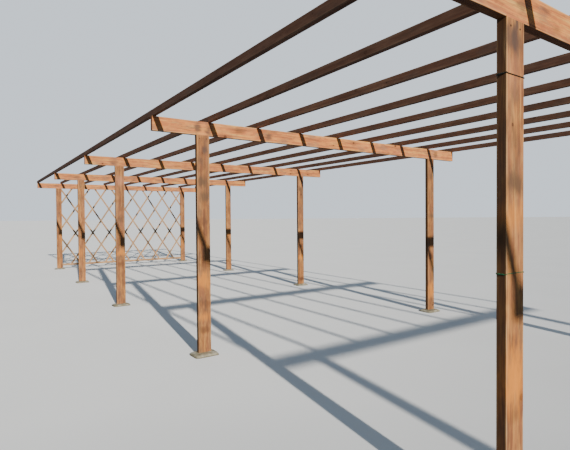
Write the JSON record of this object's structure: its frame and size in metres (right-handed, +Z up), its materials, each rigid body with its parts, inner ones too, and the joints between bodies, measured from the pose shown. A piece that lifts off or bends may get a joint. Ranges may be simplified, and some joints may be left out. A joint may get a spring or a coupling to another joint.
{
  "type": "wooden pergola",
  "caption": "Open timber pergola of plank portal frames in a row, with lengthwise rafters and a diamond lattice closing one end.",
  "frame": {"origin": "on the ground, in the middle of the pergola's plan", "axes": "+X across the pergola from the left post row to the right one, +Y along it towards the lattice end, +Z up"},
  "size_m": [5.05, 17.74, 2.655],
  "materials": {
    "frame_timber": "oiled planed softwood, streaky orange tan",
    "rafter_timber": "stained planed softwood, darker brown",
    "lattice_timber": "weathered pale tan laths",
    "footing_concrete": "rough cast concrete",
    "fixings": "darkened screw and nail heads"
  },
  "bodies": {
    "root": {"left_post_1": "frame_timber", "right_post_1": "frame_timber", "cross_beam_1": "frame_timber", "footings_1": "footing_concrete", "left_post_2": "frame_timber", "right_post_2": "frame_timber", "cross_beam_2": "frame_timber", "footings_2": "footing_concrete", "left_post_3": "frame_timber", "right_post_3": "frame_timber", "cross_beam_3": "frame_timber", "footings_3": "footing_concrete", "left_post_4": "frame_timber", "right_post_4": "frame_timber", "cross_beam_4": "frame_timber", "footings_4": "footing_concrete", "left_post_5": "frame_timber", "right_post_5": "frame_timber", "cross_beam_5": "frame_timber", "footings_5": "footing_concrete", "left_post_6": "frame_timber", "right_post_6": "frame_timber", "cross_beam_6": "frame_timber", "footings_6": "footing_concrete", "rafter_1_near": "rafter_timber", "rafter_1_far": "rafter_timber", "rafter_2_near": "rafter_timber", "rafter_2_far": "rafter_timber", "rafter_3_near": "rafter_timber", "rafter_3_far": "rafter_timber", "rafter_4_near": "rafter_timber", "rafter_4_far": "rafter_timber", "rafter_5_near": "rafter_timber", "rafter_5_far": "rafter_timber", "rafter_6_near": "rafter_timber", "rafter_6_far": "rafter_timber", "rafter_7_near": "rafter_timber", "rafter_7_far": "rafter_timber", "rafter_8_near": "rafter_timber", "rafter_8_far": "rafter_timber", "rafter_9_near": "rafter_timber", "rafter_9_far": "rafter_timber", "lattice_rail": "lattice_timber", "lattice_panel": "lattice_timber"}
  },
  "joints": []
}
